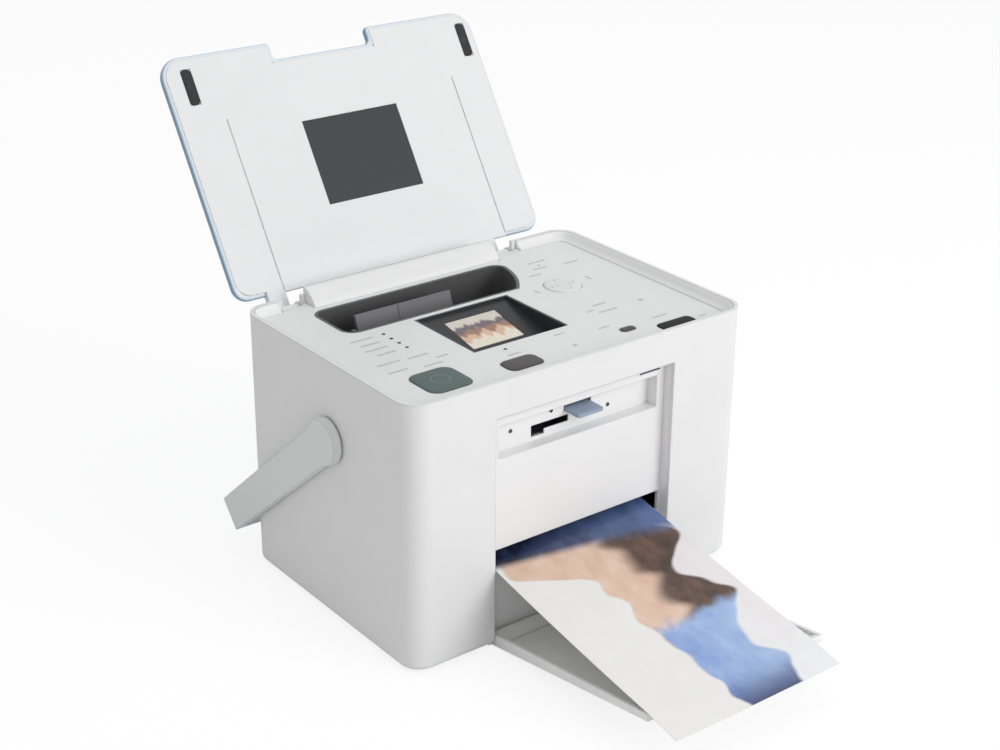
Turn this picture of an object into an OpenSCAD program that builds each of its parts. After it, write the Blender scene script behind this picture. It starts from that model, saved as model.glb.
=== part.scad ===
// Compact photo printer: an assembly of separate parts in one frame.
// Origin on the table under the middle of the casing, +X right, +Y rear, +Z up.

/* [Casing] */
// Width of the casing
body_w = 206; // [204:1:208]
// Depth of the casing
body_d = 146; // [146:1:148]
// Height of the rim above the table
body_h = 140.5; // [140:0.5:142]
// Radius of the upright corners
corner_r = 11.5; // [8:0.5:14]
// Wall thickness of the casing
wall = 2; // [1.8:0.1:2.2]
// Height that the rubber feet stand out
foot_h = 1.5; // [1:0.25:2]
// Depth of the top panel below the rim
panel_drop = 4.3; // [4:0.1:4.6]

/* [Front] */
// Width of the front recess
recess_w = 110; // [108:1:112]
// Depth of the front recess
recess_depth = 6.6; // [6.4:0.1:7]
// Height of the recess's upper edge
recess_top = 122; // [121:0.5:123]
// Height of the output slot's upper edge
slot_top = 48.9; // [48:0.1:50]
// Height of the output slot's lower edge
slot_bottom = 38; // [36:0.5:40]
// Width that the recess's back wall keeps beside the card bay, both sides together
card_frame_w = 11.5; // [11:0.5:14]

/* [Paper] */
// Gap between the print and each side wall of the recess
print_gap = 4.2; // [4:0.1:4.6]
// Length of the print
print_l = 152.4; // [127:0.1:152.4]
// Sideways place of the paper's middle
paper_x = -3.7; // [-4:0.1:-3.4]
// Width of the feed slot
feed_w = 119.8; // [118:0.2:122]
// Depth of the feed slot from front to rear
feed_d = 36; // [35:0.5:37]

/* [Lid] */
// Gap between the shut lid and each side wall of the casing
lid_side_gap = 3.4; // [3.2:0.1:6]
// Gap between the shut lid's free edge and the casing's front wall
lid_front_gap = 2.1; // [2:0.1:3.5]
// Thickness of the lid
lid_t = 8; // [7:0.5:9]
// Angle that the lid turns from open to closed
lid_turn = 123; // [118:0.5:124]

/* [Output tray] */
// Length of the tray from its hinge to its tip
tray_l = 114; // [110:1:115]
// Angle that the tray rises towards its tip when it is open
tray_rise = 9; // [8:0.5:10]

/* [Handle] */
// Reach of the handle from its pivot
handle_l = 122; // [120:1:124]
// Angle that the handle hangs below level
handle_hang = 40.2; // [38:0.1:42]
// Height of the handle's pivot
handle_z = 99.5; // [98:0.5:101]

/* [Hidden] */

$fn = 48;
fit = 0.15;         // gap round a part that drops into an opening
run = 0.05;         // radial gap of a running fit
eps = 1;            // overshoot of a cut

front_y = -body_d / 2;
rear_y = body_d / 2;
side_x = body_w / 2;
in_x = side_x - wall;
in_y = rear_y - wall;
panel_z = body_h - panel_drop;
panel_t = 2.2;
ledge_z = panel_z - panel_t;
recess_y = front_y + recess_depth;
skin = 2;           // thickness of the fascia
paper_z = 50;       // height of the paper on the platen
exit_slope = 10.8;  // fall of the paper towards the front
feed_x = -13.6;     // middle of the feed slot
feed_y = rear_y - 33;
feed_wall = 1.6;    // wall of the slot's liner
hinge_y = rear_y + 1.1;     // lid hinge
hinge_z = panel_z - 5.2;
lid_w = 2 * (in_x - lid_side_gap);
lid_y = [lid_front_gap - in_y, hinge_y - 12.4];
lid_l = lid_y[1] - lid_y[0];
tray_y = front_y + 3.5;
tray_z = 3.5;
tray_w = recess_w - 0.8;
handle_clear = 14.18;   // from the casing's rear to the far face of the handle's bar
handle_y = rear_y + handle_clear - handle_l * cos(handle_hang);
feed_edge = [feed_x - feed_w / 2, feed_x + feed_w / 2];
feed_front = feed_y - feed_d / 2;
print_w = recess_w - 2 * print_gap;

main_y = 8;
main_r = 6;
roller_z = paper_z - main_r;
exit_r = 4;
exit_z = roller_z;
gear_m = 0.8;       // tooth module
main_teeth = 40;
exit_teeth = 27;
idler_teeth = 31;
lift_teeth = 20;
pickup_teeth = 30;
pinion_teeth = 12;
gear_x = [-95, -90];
function pitch_r(n) = gear_m * n / 2;
idler_y = main_y - pitch_r(main_teeth + idler_teeth);
exit_y = idler_y - pitch_r(idler_teeth + exit_teeth);
lift_z = roller_z + pitch_r(main_teeth + lift_teeth);
lift_angle = 72;    // direction from the lifting gear to the pickup roller
pickup_y = main_y + pitch_r(lift_teeth + pickup_teeth) * cos(lift_angle);
pickup_z = lift_z + pitch_r(lift_teeth + pickup_teeth) * sin(lift_angle);
motor_angle = -40;
motor_y = main_y + pitch_r(main_teeth + pinion_teeth) * cos(motor_angle);
motor_z = roller_z + pitch_r(main_teeth + pinion_teeth) * sin(motor_angle);
shaft_y = -2;
shaft_z = 66;
shaft_r = 3;
belt_y = [-44, -39];
belt_z = 78;
pulley_x = 78.5;
pulley_r = 6;
tab_y = [-50.4, -48.8];

// Outline of a rectangle with round corners
module round_rect(w, d, r) {
    square([w - 2 * r, d], center = true);
    square([w, d - 2 * r], center = true);
    for (x = [-1, 1], y = [-1, 1])
        translate([x * (w / 2 - r), y * (d / 2 - r)]) circle(r);
}

module round_slab(w, d, h, r, at) {
    translate(at) linear_extrude(h) round_rect(w, d, r);
}

// Box between limits in x, y and z
module block(x, y, z) {
    translate([x[0], y[0], z[0]]) cube([x[1] - x[0], y[1] - y[0], z[1] - z[0]]);
}

// Rods along the three axes
module rod_x(x, y, z, r) {
    translate([x[0], y, z]) rotate([0, 90, 0]) cylinder(h = x[1] - x[0], r = r);
}

module rod_y(x, y, z, r) {
    translate([x, y[1], z]) rotate([90, 0, 0]) cylinder(h = y[1] - y[0], r = r);
}

module rod_z(x, y, z, r) {
    translate([x, y, z[0]]) cylinder(h = z[1] - z[0], r = r);
}

// Profile drawn in (y, z) and pushed along x
module side_profile(x) {
    translate([x[0], 0, 0]) rotate([90, 0, 90]) linear_extrude(x[1] - x[0]) children();
}

// ---- Casing ----

boss_x = side_x - 11;
boss_y = rear_y - 11;
boss_r = 4.5;
base_z = foot_h + 0.3;
base_t = 2;
base_top = base_z + base_t;
hump_r = 13;        // hump round the hinge line
hump_x = [-67, 50];
arm_at = [[-80.5, -69.5], [54, 65]];    // each hinge arm runs between these
ear_t = 2.5;
pocket_y = rear_y - 4.5;
pin_r = 1.5;
tray_pin_r = 1.2;
door_x = [54, 96];
door_z = [44, 94];
door_pin_y = rear_y - 2.2;
door_pin_z = 46.6;
door_knuckle_r = 2.2;
socket_z = [12, 23.2];
usb_x = -40;
usb_w = 12.4;
inlet_x = -74;
inlet_w = 18.4;
handle_pin_r = 4;
recess_x = recess_w / 2;

// Upright prism whose bottom edge is rounded all the way round
module rounded_tub(w, d, z, r, rb) {
    round_slab(w, d, z[1] - z[0] - rb, r, [0, 0, z[0] + rb]);
    round_slab(w - 2 * rb, d - 2 * rb, 2 * rb, r - rb, [0, 0, z[0]]);
    for (s = [-1, 1]) {
        rod_x([-w / 2 + r, w / 2 - r], s * (d / 2 - rb), z[0] + rb, rb);
        rod_y(s * (w / 2 - rb), [-d / 2 + r, d / 2 - r], z[0] + rb, rb);
    }
    for (x = [-1, 1], y = [-1, 1])
        translate([x * (w / 2 - r), y * (d / 2 - r), z[0] + rb])
            rotate_extrude() translate([r - rb, 0]) circle(rb);
}

// Runs its children at the right-hand hinge arm and mirrored at the left-hand one
module both_sides() {
    children();
    mirror([1, 0, 0]) children();
}

module hinge_hump() {
    intersection() {
        rod_x(hump_x, hinge_y, hinge_z, hump_r);
        block([-side_x, side_x], [hinge_y - hump_r, rear_y], [ledge_z, body_h + 10]);
    }
}

module hinge_ears(arm) {
    for (x = [arm[0] - ear_t, arm[1]]) {
        rod_x([x, x + ear_t], hinge_y, hinge_z, 5);
        block([x, x + ear_t], [pocket_y - 2, hinge_y], [hinge_z - 5, hinge_z + 5]);
    }
}

module hinge_pocket(arm, grow) {
    block([arm[0] - grow, arm[1] + grow], [pocket_y - grow, rear_y + 20],
        [hinge_z - 6.7 - grow, hinge_z + 30]);
}

module door_ears() {
    for (x = [door_x[0] - 2.4, door_x[1]])
        block([x, x + 2.4], [door_pin_y - 3, in_y + 0.5], [door_pin_z - 4, door_pin_z + 4]);
}

module casing_walls() {
    difference() {
        rounded_tub(body_w, body_d, [foot_h, body_h], corner_r, 3.5);
        round_slab(body_w - 2 * wall, body_d - 2 * wall, body_h, corner_r - wall, [0, 0, foot_h + 4]);
        round_slab(body_w - 11.6, body_d - 11.6, body_h, 6, [0, 0, -eps]);
    }
}

module panel_ledge() {
    difference() {
        round_slab(body_w - wall, body_d - wall, 2, corner_r - 1, [0, 0, ledge_z - 2]);
        round_slab(body_w - 2 * wall - 3, body_d - 2 * wall - 3, 4, corner_r - wall - 1.5,
            [0, 0, ledge_z - 3]);
    }
}

module screw_bosses() {
    for (x = [-1, 1], y = [-1, 1])
        translate([x * boss_x, y * boss_y, 0]) {
            rod_z(0, 0, [base_top, 40], boss_r);
            block(x > 0 ? [0, in_x - boss_x + 1] : [boss_x - in_x - 1, 0], [-1, 1], [base_top, 40]);
        }
}

module casing() color("whitesmoke") {
    difference() {
        union() {
            casing_walls();
            panel_ledge();
            hinge_hump();
            screw_bosses();
            door_ears();
            for (arm = arm_at) {
                hinge_ears(arm);
                intersection() {
                    hinge_pocket(arm, 2);
                    block([-side_x, side_x], [rear_y - 13, rear_y], [100, panel_z]);
                }
            }
            both_sides() rod_x([in_x - 4, side_x + 0.6], handle_y, handle_z, 8);
        }
        for (arm = arm_at) {
            hinge_pocket(arm, 0);
            rod_x([arm[0] - ear_t - 1, arm[1] + ear_t + 1], hinge_y, hinge_z, pin_r);
        }
        both_sides() rod_x([in_x - 5, side_x + 5], handle_y, handle_z, handle_pin_r + run);
        block([-recess_x, recess_x], [front_y - eps, front_y + wall + 0.5], [-eps, recess_top]);
        block([-recess_x - 2.2, recess_x + 2.2], [front_y + wall, front_y + 10], [-eps, foot_h + 6]);
        for (x = [-1, 1], y = [-1, 1]) rod_z(x * boss_x, y * boss_y, [0, 16], 1.25);
        block(door_x, [in_y - 1, rear_y + 1], door_z);
        rod_x([door_x[0] - 4, door_x[1] + 4], door_pin_y, door_pin_z, 0.9 + run);
        for (p = [[usb_x, usb_w], [inlet_x, inlet_w]])
            block([p[0] - p[1] / 2, p[0] + p[1] / 2], [in_y - 1, rear_y + 1], socket_z);
    }
}

module base_plate() color("whitesmoke") {
    difference() {
        round_slab(body_w - 12, body_d - 12, base_t, 6, [0, 0, base_z]);
        block([-recess_x - 2.3, recess_x + 2.3], [front_y, recess_y + skin + 0.1], [0, 10]);
        for (x = [-1, 1], y = [-1, 1]) rod_z(x * boss_x, y * boss_y, [0, 10], 1.6);
        for (x = [-36 : 8 : 36]) block([x - 2, x + 2], [20, 44], [0, 10]);
    }
}

// Four round feet, each held by a plug in the base plate
module rubber_feet() color("dimgray") {
    for (x = [-1, 1], y = [-1, 1])
        rod_z(x * 80, y * 50, [0, base_z], 7);
}

// Pan-head screws up into the casing's bosses
module casing_screws() color("silver") {
    for (x = [-1, 1], y = [-1, 1]) {
        rod_z(x * boss_x, y * boss_y, [base_z - 1.2, base_z], 2.8);
        rod_z(x * boss_x, y * boss_y, [base_z - 0.5, 15], 1.25);
    }
}

// ---- Top panel and front ----

// name, middle x, middle y, width, depth, corner radius
print_key = [-68, front_y + 25.5, 24.5, 24, 6];
display_key = [-25.5, front_y + 19, 20.5, 12.4, 4.2];
power_key = [66.3, front_y + 12, 22, 8.4, 3.2];
menu_key = [41.7, front_y + 20.6, 9, 5, 2.4];
pad_key = [feed_edge[1] + 6.8, 12, 20, 20, 9.9];
all_keys = [print_key, display_key, power_key, menu_key, pad_key];
key_rise = 0.7;     // how far a key stands out of the panel
key_travel = 1;
board_z = 118;      // underside of the panel board
board_t = 1.6;
switch_h = 0.6;
frame_x = [-36.4, 21.3];
frame_y = [feed_front - 53, feed_front - 3];
screen_x = [-23, 8.4];
screen_y = [feed_front - 35.8, feed_front - 10.4];
screen_tilt = 12;
frame_wall = 1.2;
post_at = [[-90, front_y + 11], [-90, 0], [-45, -30], [30, -30], [88, -50], [88, 10]];
light_at = [[-58.6, 13.2], [-58.6, 6.4], [-58.6, -0.2], [-58.6, -6.8], [-22, -36.5]];
light_r = 0.9;
slope_w = 2.6;      // width and height of the slope between the panel and the rim
slope_h = 4.3;

module key_slab(k, grow, z) {
    round_slab(k[2] + 2 * grow, k[3] + 2 * grow, z[1] - z[0], k[4] + grow, [k[0], k[1], z[0]]);
}

// The feed slot: a long round-cornered opening whose right-hand end is a wide curve
module feed_opening(grow, z) {
    end_r = 1.46 * feed_d;
    translate([0, 0, z[0]]) linear_extrude(z[1] - z[0]) intersection() {
        translate([feed_x, feed_y]) round_rect(feed_w + 2 * grow, feed_d + 2 * grow, 8 + grow);
        union() {
            translate([feed_edge[0] - 10, 0]) square([feed_x - feed_edge[0], feed_y + feed_d]);
            translate([feed_edge[1] - end_r, feed_y + feed_d / 2]) circle(end_r + grow);
        }
    }
}

module control_panel() color("whitesmoke") {
    difference() {
        union() {
            round_slab(2 * in_x - 2 * fit, 2 * in_y - 2 * fit, body_h - ledge_z - 0.5,
                corner_r - wall - fit, [0, 0, ledge_z]);
            for (p = post_at) rod_z(p[0], p[1], [board_z + board_t, panel_z - 0.5], 2.5);
        }
        // hollow whose edge slopes up to the rim all round
        hull() for (z = [0, 1])
            round_slab(2 * in_x - 1 - 2 * slope_w * (1 - z), 2 * in_y - 1 - 2 * slope_w * (1 - z), 0.1,
                corner_r - wall - 0.5 - slope_w * (1 - z), [0, 0, panel_z + z * slope_h], $fn = 32);
        for (k = all_keys) key_slab(k, fit, [ledge_z - eps, panel_z + eps]);
        feed_opening(0.1, [ledge_z - eps, panel_z + eps]);
        block([frame_x[0] - fit, frame_x[1] + fit], [frame_y[0] - fit, frame_y[1] + fit],
            [ledge_z - eps, panel_z + eps]);
        for (p = light_at) rod_z(p[0], p[1], [ledge_z - eps, panel_z + eps], light_r + run);
        block([hump_x[0] - fit, hump_x[1] + fit], [hinge_y - hump_r - fit, rear_y], [100, 200]);
        for (arm = arm_at)
            block([arm[0] - ear_t - fit, arm[1] + ear_t + fit], [pocket_y - 2 - fit, rear_y], [100, 200]);
    }
}

// A key: its cap, the flange that keeps it in, and the stem over its switch
module key(k) {
    key_slab(k, -0.1, [ledge_z - 1.2, panel_z + key_rise]);
    key_slab(k, 1, [ledge_z - 1.2, ledge_z]);
    rod_z(k[0], k[1], [board_z + board_t + switch_h + key_travel + 0.1, ledge_z], 2);
}

module print_button() color("slategray") { key(print_key); }

module display_button() color("dimgray") { key(display_key); }

module power_button() color("black") { key(power_key); }

module menu_button() color("dimgray") { key(menu_key); }

module navigation_pad() color("white") { key(pad_key); }

// Box-shaped recess: back plate with the output slot and the card bay's opening
card_z = [97, 114.2];
card_x = [0.75 - (recess_w - card_frame_w) / 2, 0.75 + (recess_w - card_frame_w) / 2];
card_depth = 6.6;
card_wall = 1.8;
card_y = recess_y + card_depth;
// lights of the card bay: x, z
card_light_at = [[-36.6, 105.9], [-12, 109.7], [23.7, 103.1]];
ir_x = [recess_x - 16.7, recess_x - 3.5];
ir_z = [117, 118];
slot_x = [0.1 - recess_x, recess_x - 1];

module front_fascia() color("whitesmoke") {
    difference() {
        block([-recess_x - skin, recess_x + skin], [front_y + wall, recess_y + skin],
            [0.8, recess_top + skin]);
        block([-recess_x, recess_x], [front_y, recess_y], [0, recess_top]);
        block(slot_x, [front_y, 0], [slot_bottom, slot_top]);
        block(card_x, [front_y, 0], card_z);
        block(ir_x, [front_y, 0], ir_z);
        rod_x([-recess_x - 3, recess_x + 3], tray_y, tray_z, tray_pin_r);
    }
    // lip that carries the paper to the slot
    difference() {
        block(slot_x, [recess_y + skin - 0.1, recess_y + 9], [slot_bottom - 4, slot_bottom - 1]);
        for (x = [-48 : 12 : 48]) block([x - 4, x + 4], [recess_y + 4, recess_y + 7], [0, 60]);
    }
}

// Recessed bay with the slots for the memory cards
module card_panel() color("whitesmoke") {
    difference() {
        block([card_x[0] - card_wall, card_x[1] + card_wall], [recess_y + skin, card_y + card_wall],
            [card_z[0] - card_wall, card_z[1] + card_wall]);
        block(card_x, [-body_d, card_y], card_z);
        // stepped slot at the left: a tall foot and a long thin run
        block([-24.2, -16.2], [-body_d, 0], [99, 105]);
        block([-24.2, -1.3], [-body_d, 0], [101.4, 105]);
        // slot of the larger card
        block([-4.2, 12.8], [-body_d, 0], [107, 111]);
        // the wall is thinner round the slots
        block([-26, 14.6], [card_y + 0.6, 0], [98, 111.6]);
        for (p = card_light_at) rod_y(p[0], [-body_d, 0], p[1], 1 + run);
    }
}

module memory_card() color("steelblue") {
    block([-3.7, 12.3], [front_y + 2.5, front_y + 26.5], [107, 108.8]);
}

module ir_window() color("dimgray") {
    block([ir_x[0] + run, ir_x[1] - run], [recess_y + 0.2, recess_y + skin + 0.1],
        [ir_z[0] + run, ir_z[1] - run]);
    block([ir_x[0] - 2.3, ir_x[1] + 2.5], [recess_y + skin, recess_y + skin + 1.2],
        [card_z[1] + card_wall + 0.1, ir_z[1] + 1.5]);
}

// Box in the tilted frame of the screen: x and y as seen from above, z below the panel's rear edge
module tilted(x, y, z) {
    translate([0, frame_y[1], panel_z]) rotate([screen_tilt, 0, 0])
        block(x, [y[0] - frame_y[1], y[1] - frame_y[1]], z);
}

// Dark frame whose floor falls towards the front and holds the screen
module lcd_frame() color("darkslategray") {
    difference() {
        block(frame_x, frame_y, [board_z + board_t + 0.8, panel_z - 0.1]);
        tilted([frame_x[0] + frame_wall, frame_x[1] - frame_wall],
            [frame_y[0] + frame_wall - 0.8, frame_y[1] - frame_wall], [-1.2, 30]);
        tilted([frame_x[0] + frame_wall, frame_x[1] - frame_wall],
            [frame_y[0] - 30, frame_y[1] - frame_wall - 0.3], [-44, -4.2]);
        tilted([screen_x[0] - run, screen_x[1] + run], [screen_y[0] - run, screen_y[1] + run], [-30, 0]);
    }
}

module lcd_screen() color("lightsteelblue") {
    tilted(screen_x, screen_y, [-4.3, -1.5]);
    tilted([screen_x[0] - 2, screen_x[1] + 2], [screen_y[0] - 2, screen_y[1] + 2], [-5.4, -4.25]);
}

// Clear pipes that lead the lights through the panel and the card bay
module light_pipes() color("gainsboro") {
    for (p = light_at) rod_z(p[0], p[1], [board_z + board_t, panel_z + 0.15], light_r);
    for (p = card_light_at) rod_y(p[0], [card_y - 0.2, card_y + 3.4], p[1], 1);
}

// ---- Paper feed ----

liner_z = [104, ledge_z];
hopper_lean = 19.5;
pickup_r = 9;
hopper_l = 55.5;    // height of the tall part of the plate above the roller
hopper_gap = 0.5;   // room for the sheets between roller and plate
rail_y = 3;         // reach of the edge guide's rail behind the slot's front edge
rail_z = [117, 120];

module slot_liner() color("dimgray") {
    difference() {
        union() {
            feed_opening(0, [liner_z[0], panel_z - 0.1]);
            feed_opening(2.6, [ledge_z - 1.5, ledge_z]);
        }
        feed_opening(-feed_wall, [liner_z[0] - eps, panel_z + eps]);
    }
    // rail of the edge guide, on the front wall
    block([feed_edge[0] + 2, feed_edge[0] + 38], [feed_front + 0.5, feed_front + rail_y], rail_z);
}

// Local frame of the hopper plate: origin at the roller's middle, y away from it
module hopper_frame() {
    translate([0, pickup_y, pickup_z]) rotate([-hopper_lean, 0, 0]) children();
}

module hopper_plate() color("gray") {
    hopper_frame() {
        y = [pickup_r + hopper_gap, pickup_r + hopper_gap + 2];
        block([feed_edge[0] + 17, 2], y, [-8, hopper_l]);
        block([feed_edge[0] + 17, feed_edge[1] - 2], y, [-8, 14]);
        block([-31, -29.6], [y[0] - 0.3, y[0]], [10, hopper_l]);
    }
    for (x = [-45, 15])
        side_profile([x, x + 10]) polygon([[23.2, 80], [31, 80], [31, 88], [25.9, 88]]);
}

module edge_guide() color("dimgray") {
    y = [feed_front + feed_wall + 0.1, feed_front + 6];
    difference() {
        union() {
            block([feed_edge[0] + 8.5, feed_edge[0] + 13.6], y, [114, 123]);
            side_profile([feed_edge[0] + 11.6, feed_edge[0] + 13.6])
                polygon([[y[0], 110], [30.8, 110], [37.5, 131], [y[0], 131]]);
        }
        block([feed_edge[0], feed_edge[0] + 30], [0, feed_front + rail_y + run],
            [rail_z[0] - run, rail_z[1] + run]);
    }
}

// ---- Boards, sockets and card reader ----

board_y = [front_y + 10.5, feed_front - 5];

module panel_board() color("seagreen") {
    block([-93, 91], board_y, [board_z, board_z + board_t]);
    for (k = all_keys)
        block([k[0] - 3, k[0] + 3], [max(k[1] - 3, board_y[0] + 0.5), max(k[1] + 3, board_y[0] + 6.5)],
            [board_z + board_t - 0.1, board_z + board_t + switch_h]);
}

main_board_z = 8;

module main_board() color("seagreen") {
    z = [main_board_z, main_board_z + 1.6];
    block([-50, 76], [-46, 26], z);
    block([-84, -20], [20, rear_y - 5], z);
    for (p = [[-46, -42], [72, -42], [72, 22], [-80, rear_y - 9], [-24, rear_y - 9]])
        rod_z(p[0], p[1], [base_top, main_board_z], 2.6);
    for (c = [[-20, -20, 14], [18, -8, 18], [46, 4, 12]])
        block([c[0], c[0] + c[2]], [c[1], c[1] + c[2]], [z[1] - 0.1, z[1] + 1.4]);
}

// Sheet-metal box that guides the cards on to their contacts
module card_reader() color("silver") {
    difference() {
        block([-30, 30], [card_y + card_wall, -28], [97.6, board_z]);
        for (z = [[98.8, 105.6], [106.8, 111.4]]) block([-28.5, 28.5], [-80, -29.5], z);
        for (p = card_light_at) rod_y(p[0], [-80, card_y + 5.5], p[1], 1.2);
    }
}

module usb_port() color("silver") {
    difference() {
        union() {
            block([usb_x - 6, usb_x + 6], [rear_y - 18, rear_y - 0.3],
                [socket_z[0] + 0.1, socket_z[1] - 0.1]);
            block([usb_x - 5, usb_x + 5], [rear_y - 17, rear_y - 5],
                [main_board_z + 1.6, socket_z[0] + 0.2]);
        }
        block([usb_x - 4.4, usb_x + 4.4], [rear_y - 11, rear_y + 1],
            [socket_z[0] + 1.5, socket_z[1] - 1.5]);
    }
    block([usb_x - 2.8, usb_x + 2.8], [rear_y - 13, in_y], [16, 19.2]);
}

// Two-pin inlet with the usual figure-of-eight opening
module power_inlet() color("dimgray") {
    difference() {
        union() {
            block([inlet_x - 9, inlet_x + 9], [rear_y - 19, rear_y - 0.3],
                [socket_z[0] + 0.1, socket_z[1] - 0.1]);
            block([inlet_x - 7, inlet_x + 7], [rear_y - 18, rear_y - 5],
                [main_board_z + 1.6, socket_z[0] + 0.2]);
        }
        for (x = [-3.6, 3.6]) rod_y(inlet_x + x, [rear_y - 12, rear_y + 1], 17.6, 3.9);
    }
    for (x = [-4.3, 4.3]) rod_y(inlet_x + x, [rear_y - 13, in_y], 17.6, 1.2);
}

// ---- Chassis and paper drive ----

plate_x = 86;       // inner face of each side plate
plate_t = 1.6;
// Holes shared by both side plates: y, z, radius
plate_holes = [[main_y, roller_z, 5], [exit_y, exit_z, 3.5], [pickup_y, pickup_z, 3 + run],
    [shaft_y, shaft_z, shaft_r], [main_y, 53.25, 1 + run], [exit_y, 51.3, 0.8 + run]];

module chassis() color("silver") {
    difference() {
        union() {
            both_sides() {
                block([plate_x, plate_x + plate_t], [tab_y[0], 38], [base_top, 100]);
                for (y = [[-50, -30], [14, 38]])
                    block([plate_x - 8, plate_x + plate_t], y, [base_top, base_top + plate_t]);
                block([plate_x - 18, plate_x + 5], tab_y, [64, 92]);
            }
            block([-plate_x - 0.5, plate_x + 0.5], [31, 31 + plate_t], [60, 92]);
            block([-plate_x - 0.5, plate_x + 0.5], [tab_y[0], tab_y[1]], [58, 65]);
            rod_y(pulley_x, [tab_y[1], belt_y[1] + 1], belt_z, 1.5);
        }
        for (h = plate_holes) rod_x([-95, 95], h[0], h[1], h[2]);
        rod_x([-95, 0], motor_y, motor_z, 3);
        rod_y(-pulley_x, [-60, -45], belt_z, 3);
    }
    // stub axles of the two idler gears
    rod_x([gear_x[0], -plate_x], idler_y, roller_z, 2);
    rod_x([gear_x[0], -plate_x], main_y, lift_z, 2);
}

module guide_shaft() color("gainsboro") {
    rod_x([-plate_x - 4, plate_x + 4], shaft_y, shaft_z, shaft_r);
}

// Spur gear in the (y, z) plane with a tooth at the angle given
module spur_gear(n, y, z, angle, bore) {
    r = pitch_r(n);
    side_profile(gear_x) translate([y, z]) rotate(angle) difference() {
        union() {
            circle(r - gear_m);
            for (k = [0 : n - 1]) rotate(k * 360 / n)
                polygon([[r - 1.3 * gear_m, -0.72], [r, -0.5], [r + 0.75 * gear_m, -0.24],
                    [r + 0.75 * gear_m, 0.24], [r, 0.5], [r - 1.3 * gear_m, 0.72]]);
        }
        circle(bore);
        if (r > 10) for (k = [0 : 4]) rotate(72 * k + 20) translate([r * 0.55, 0]) circle(r * 0.16);
    }
}

// Angle of a tooth on gear b that meshes with gear a across the line at angle line
function mesh_angle(line, a_angle, a, b) = line + 180 + 180 / b - (a_angle - line) * a / b;

module main_gear() color("ivory") { spur_gear(main_teeth, main_y, roller_z, 0, 3 + run); }

module exit_idler() color("ivory") {
    spur_gear(idler_teeth, idler_y, roller_z, mesh_angle(180, 0, main_teeth, idler_teeth), 2 + run);
}

module exit_gear() color("ivory") {
    a = mesh_angle(180, 0, main_teeth, idler_teeth);
    spur_gear(exit_teeth, exit_y, exit_z, mesh_angle(180, a, idler_teeth, exit_teeth), 2 + run);
}

module pickup_idler() color("ivory") {
    spur_gear(lift_teeth, main_y, lift_z, mesh_angle(90, 0, main_teeth, lift_teeth), 2 + run);
}

module pickup_gear() color("ivory") {
    a = mesh_angle(90, 0, main_teeth, lift_teeth);
    spur_gear(pickup_teeth, pickup_y, pickup_z,
        mesh_angle(lift_angle, a, lift_teeth, pickup_teeth), 3 + run);
}

module motor_pinion() color("goldenrod") {
    spur_gear(pinion_teeth, motor_y, motor_z,
        mesh_angle(motor_angle, 0, main_teeth, pinion_teeth), 1 + run);
}

// Plain bearings pressed into the side plates
module roller_bushes() color("ivory") {
    both_sides() {
        for (b = [[main_y, roller_z, 5, 3], [exit_y, exit_z, 3.5, 2]])
            difference() {
                union() {
                    rod_x([plate_x, plate_x + plate_t], b[0], b[1], b[2]);
                    rod_x([plate_x - 0.8, plate_x], b[0], b[1], b[2] + 1);
                }
                rod_x([plate_x - 2, plate_x + 3], b[0], b[1], b[3] + run);
            }
    }
}

// Roller on a shaft that ends in a gear at the left
module roller(y, z, r, shaft, x) {
    rod_x(x, y, z, r);
    rod_x([gear_x[0], plate_x + 4], y, z, shaft);
}

module main_roller() color("dimgray") { roller(main_y, roller_z, main_r, 3, [-84, 84]); }

module exit_roller() color("dimgray") { roller(exit_y, exit_z, exit_r, 2, [-84, 84]); }

module pickup_roller() color("dimgray") {
    difference() {
        roller(pickup_y, pickup_z, pickup_r, 3, [-22, 14]);
        block([-30, 30], [pickup_y - 20, pickup_y - 6.5], [pickup_z - 20, pickup_z + 20]);
    }
}

module pinch_rollers() color("gray") {
    rod_x([-plate_x - 2, plate_x + 2], main_y, 53.25, 1);
    for (x = [-70 : 28 : 70]) rod_x([x - 6, x + 6], main_y, 53.25, 3);
}

// Thin spiked wheels that touch the wet side of the print
module star_wheels() color("silver") {
    rod_x([-plate_x - 2, plate_x + 2], exit_y, 51.3, 0.8);
    for (x = [-66 : 22 : 66])
        side_profile([x - 0.4, x + 0.4]) translate([exit_y, 51.3]) {
            circle(2.4);
            for (k = [0 : 11]) rotate(30 * k) polygon([[2, -0.5], [3, 0], [2, 0.5]]);
        }
}

module platen() color("dimgray") {
    y = [exit_y + exit_r + 1, main_y - main_r - 0.6];
    block([-plate_x, plate_x], y, [38, 40]);
    block([-84, 46], y, [39, 46.4]);
    for (x = [-80 : 10 : 40]) block([x - 0.8, x + 0.8], y, [46, 49]);
}

module feed_motor() color("silver") {
    rod_x([-plate_x, -60], motor_y, motor_z, 12);
    rod_x([-60, -57], motor_y, motor_z, 4);
    rod_x([-plate_x - plate_t, -plate_x], motor_y, motor_z, 2.9);
    rod_x([gear_x[0] - 1, -plate_x], motor_y, motor_z, 1);
}

module carriage_motor() color("silver") {
    rod_y(-pulley_x, [front_y + 4, tab_y[0]], belt_z, 7.4);
    rod_y(-pulley_x, [tab_y[0], tab_y[1]], belt_z, 2.9);
    rod_y(-pulley_x, [tab_y[1], belt_y[1] + 0.5], belt_z, 1);
}

module pulley(x, bore) {
    difference() {
        union() {
            rod_y(x, [belt_y[0] - 1.2, belt_y[1]], belt_z, pulley_r - run);
            rod_y(x, [belt_y[0] - 1.2, belt_y[0] - 0.1], belt_z, pulley_r + 1.2);
        }
        rod_y(x, [belt_y[0] - 3, belt_y[1] + 3], belt_z, bore);
    }
}

module drive_pulley() color("goldenrod") { pulley(-pulley_x, 1 + run); }

module idler_pulley() color("ivory") { pulley(pulley_x, 1.5 + run); }

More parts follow.
